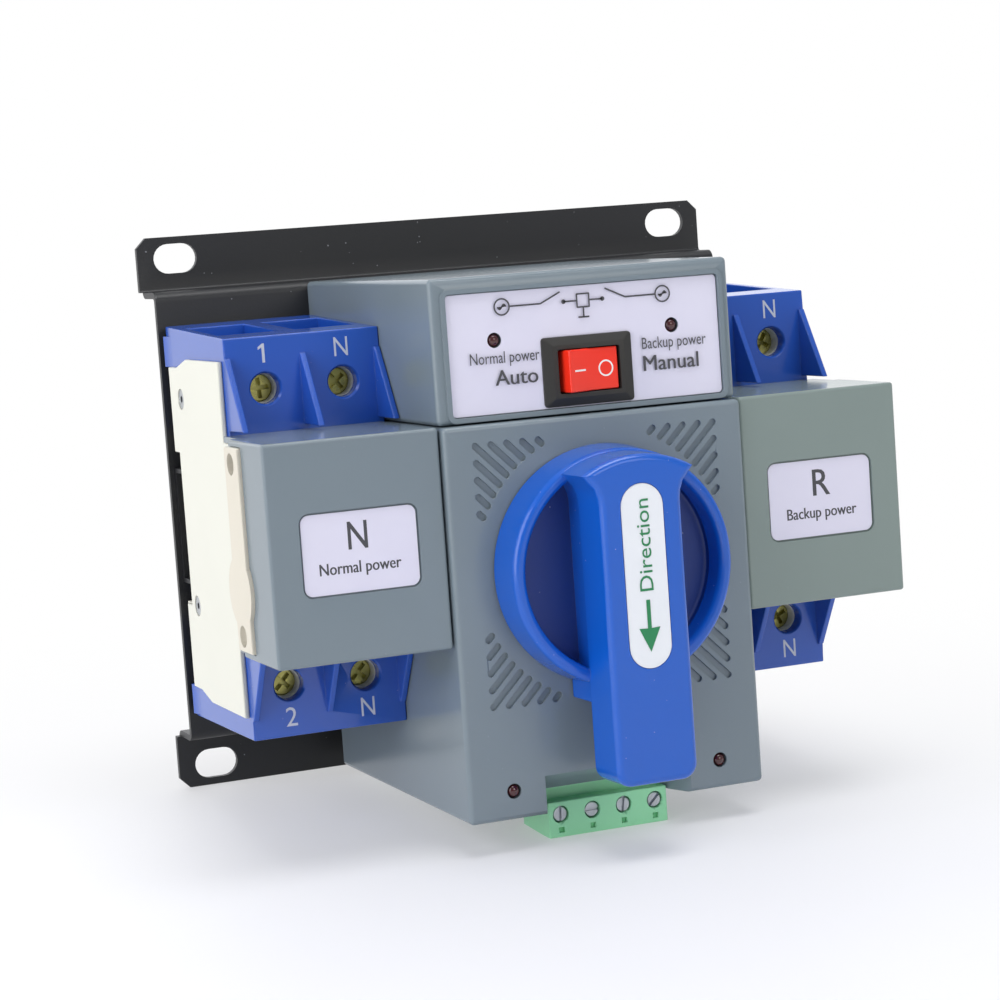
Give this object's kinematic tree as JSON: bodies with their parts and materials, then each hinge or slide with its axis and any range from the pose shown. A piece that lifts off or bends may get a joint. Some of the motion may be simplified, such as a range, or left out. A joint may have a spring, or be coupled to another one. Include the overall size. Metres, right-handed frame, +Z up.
{
  "type": "transfer switch",
  "caption": "Transfer switch on a folded plate: DIN-rail breakers under side covers, a central geared drive with a swinging lever handle, a rocker switch and a pluggable control terminal.",
  "frame": {"origin": "centre of the four mounting slots, on the wall plane that the plate's flanges are bolted to", "axes": "+X to the viewer's right, +Y back into the wall, +Z up"},
  "size_m": [0.1516, 0.1175, 0.1376],
  "materials": {
    "black_coat": "satin powder coat",
    "grey_abs": "semi-gloss moulded ABS",
    "cover_abs": "semi-gloss moulded ABS",
    "blue_plastic": "glossy moulded nylon",
    "breaker_blue": "glossy moulded thermoset",
    "cream_plastic": "satin moulded thermoset",
    "label_film": "printed film label",
    "black_plastic": "fine matt texture",
    "rocker_red": "polished",
    "lamp_red": "tinted clear LED lens",
    "plug_green": "polyamide, semi-gloss",
    "zinc_steel": "bright zinc plate",
    "screw_brass": "yellow zinc plate",
    "brass": "turned",
    "copper": "tinned and bare copper",
    "steel": "ground",
    "nylon": "natural acetal",
    "board": "glass-fibre laminate with solder mask",
    "relay_blue": "moulded case",
    "core_steel": "lacquered laminations"
  },
  "bodies": {
    "frame": {"mounting_plate": "black_coat", "n_din_rail": "black_coat", "r_din_rail": "black_coat", "drive_casing": "grey_abs", "control_box": "grey_abs", "control_label": "label_film", "rocker_housing": "black_plastic", "upper_lamps": "lamp_red", "lower_lamps": "lamp_red", "shaft_bushes": "brass", "rack_guide": "black_plastic", "gear_plate": "zinc_steel", "limit_switches": "black_plastic", "motor_body": "zinc_steel", "control_board": "board", "relays": "relay_blue", "transformer": "core_steel", "terminal_header": "plug_green", "case_screws": "zinc_steel", "n_breaker_case": "cream_plastic", "r_breaker_case": "cream_plastic", "n_side_plate": "cream_plastic", "r_side_plate": "cream_plastic", "n_upper_terminals": "breaker_blue", "r_upper_terminals": "breaker_blue", "n_lower_terminals": "breaker_blue", "r_lower_terminals": "breaker_blue", "n_clamps": "zinc_steel", "r_clamps": "zinc_steel", "n_terminal_screws": "screw_brass", "r_terminal_screws": "screw_brass", "n_fixed_contacts": "copper", "r_fixed_contacts": "copper", "n_arc_chutes": "steel", "r_arc_chutes": "steel", "n_trip_coils": "copper", "r_trip_coils": "copper", "n_rivets": "zinc_steel", "r_rivets": "zinc_steel", "n_toggle_cover": "grey_abs", "r_toggle_cover": "cover_abs", "power_labels": "label_film"},
    "handle": {"handle": "blue_plastic", "handle_label": "label_film", "drive_shaft": "steel", "drive_gear": "nylon", "rack_pinion": "steel", "limit_cam": "nylon"},
    "motor_rotor": {"motor_pinion": "brass"},
    "n_rack_body": {"n_rack": "nylon"},
    "r_rack_body": {"r_rack": "nylon"},
    "n_toggle_body": {"n_toggle": "breaker_blue"},
    "r_toggle_body": {"r_toggle": "breaker_blue"},
    "n_contacts": {"n_contact_arms": "copper"},
    "r_contacts": {"r_contact_arms": "copper"},
    "rocker_body": {"rocker": "rocker_red"},
    "n_clips": {"n_rail_clips": "breaker_blue"},
    "r_clips": {"r_rail_clips": "breaker_blue"},
    "plug": {"control_plug": "plug_green", "plug_screws": "zinc_steel"}
  },
  "joints": [
    {"name": "handle_turn", "type": "hinge", "parent": "frame", "child": "handle", "pos_m": [0, -0.1, -0.011], "axis": [0, 1, 0], "range_deg": [-90, 90]},
    {"name": "motor_spin", "type": "hinge", "parent": "frame", "child": "motor_rotor", "pos_m": [0, -0.08, -0.0366], "axis": [0, 1, 0], "range_deg": [-270, 270]},
    {"name": "n_rack_slide", "type": "slide", "parent": "frame", "child": "n_rack_body", "axis": [0, 0, 1], "range_m": [-0.0063, 0.0063], "stiffness_N_per_m": 0.1, "springref_m": 0.116},
    {"name": "r_rack_slide", "type": "slide", "parent": "frame", "child": "r_rack_body", "axis": [0, 0, 1], "range_m": [-0.0063, 0.0063], "stiffness_N_per_m": 0.1, "springref_m": 0.116},
    {"name": "n_toggle_swing", "type": "hinge", "parent": "frame", "child": "n_toggle_body", "pos_m": [-0.05345, -0.071, -0.0015], "axis": [-1, 0, 0], "range_deg": [-24.1, 24.1]},
    {"name": "r_toggle_swing", "type": "hinge", "parent": "frame", "child": "r_toggle_body", "pos_m": [0.05345, -0.071, -0.0015], "axis": [-1, 0, 0], "range_deg": [-24.1, 24.1]},
    {"name": "n_contact_swing", "type": "hinge", "parent": "frame", "child": "n_contacts", "pos_m": [-0.05345, -0.058, -0.004], "axis": [1, 0, 0], "range_deg": [-15.1, 15.1]},
    {"name": "r_contact_swing", "type": "hinge", "parent": "frame", "child": "r_contacts", "pos_m": [0.05345, -0.058, -0.004], "axis": [1, 0, 0], "range_deg": [-15.1, 15.1]},
    {"name": "rocker_tip", "type": "hinge", "parent": "frame", "child": "rocker_body", "pos_m": [0.0002, -0.0924, 0.0312], "axis": [0, 0, 1], "range_deg": [-24, 0]},
    {"name": "n_clip_slide", "type": "slide", "parent": "frame", "child": "n_clips", "axis": [0, 0, -1], "range_m": [0, 0.004], "stiffness_N_per_m": 400},
    {"name": "r_clip_slide", "type": "slide", "parent": "frame", "child": "r_clips", "axis": [0, 0, -1], "range_m": [0, 0.004], "stiffness_N_per_m": 400},
    {"name": "plug_slide", "type": "slide", "parent": "frame", "child": "plug", "axis": [0, 0, -1], "range_m": [0, 0.012]}
  ],
  "couplings": [
    {"joint": "motor_spin", "follows": "handle_turn", "ratio": -3},
    {"joint": "n_rack_slide", "follows": "handle_turn", "m_per_rad": 0.004},
    {"joint": "r_rack_slide", "follows": "handle_turn", "m_per_rad": -0.004},
    {"joint": "n_toggle_swing", "follows": "handle_turn", "ratio": 0.26667},
    {"joint": "r_toggle_swing", "follows": "handle_turn", "ratio": -0.26667},
    {"joint": "n_contact_swing", "follows": "handle_turn", "ratio": 0.16667},
    {"joint": "r_contact_swing", "follows": "handle_turn", "ratio": -0.16667}
  ]
}
